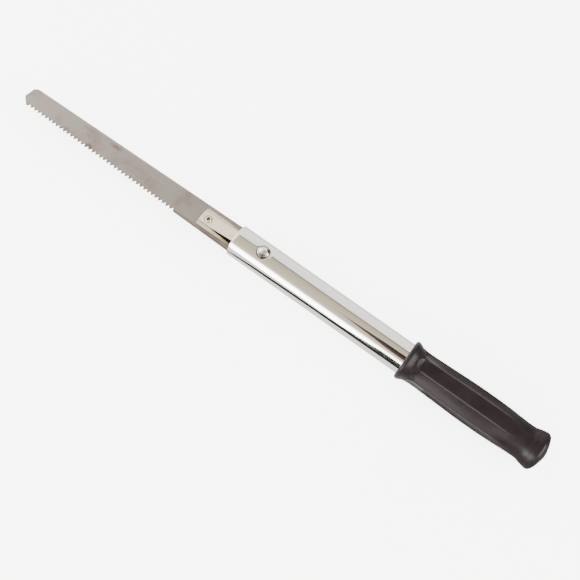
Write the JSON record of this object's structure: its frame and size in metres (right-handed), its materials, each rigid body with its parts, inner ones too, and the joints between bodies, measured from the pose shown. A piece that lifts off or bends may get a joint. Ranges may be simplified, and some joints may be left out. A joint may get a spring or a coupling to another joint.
{
  "type": "hand saw",
  "caption": "Hand saw with a flat toothed blade held in a steel tube handle by a snap button on a leaf spring, with a ribbed moulded grip.",
  "frame": {"origin": "under the middle of the saw's length, at the level of its lowest point, below the tube's axis", "axes": "+X from the blade's toe towards the butt of the grip, +Z towards the snap button, teeth facing -Y"},
  "size_m": [0.4704, 0.032, 0.032],
  "materials": {
    "blade_steel": "worn satin",
    "nickel_plate": "polished nickel",
    "rivet_steel": "satin",
    "chrome_plate": "polished",
    "black_vinyl": "soft satin"
  },
  "bodies": {
    "handle": {"handle_tube": "chrome_plate", "grip": "black_vinyl"},
    "blade_unit": {"saw_blade": "blade_steel", "saddle_plate": "nickel_plate", "latch_leaf": "nickel_plate", "eyelet_rivet": "nickel_plate", "eyelet_washer": "nickel_plate", "tang_rivet": "rivet_steel"},
    "button": {"latch_button": "chrome_plate", "button_washer": "rivet_steel"}
  },
  "joints": [
    {"name": "blade_slide", "type": "slide", "parent": "handle", "child": "blade_unit", "axis": [-1, 0, 0], "range_m": [0, 0.075], "deforming": ["latch_button"]},
    {"name": "button_press", "type": "slide", "parent": "blade_unit", "child": "button", "axis": [0, 0, -1], "range_m": [0, 0.0037], "stiffness_N_per_m": 4000, "deforming": ["latch_leaf"]}
  ]
}
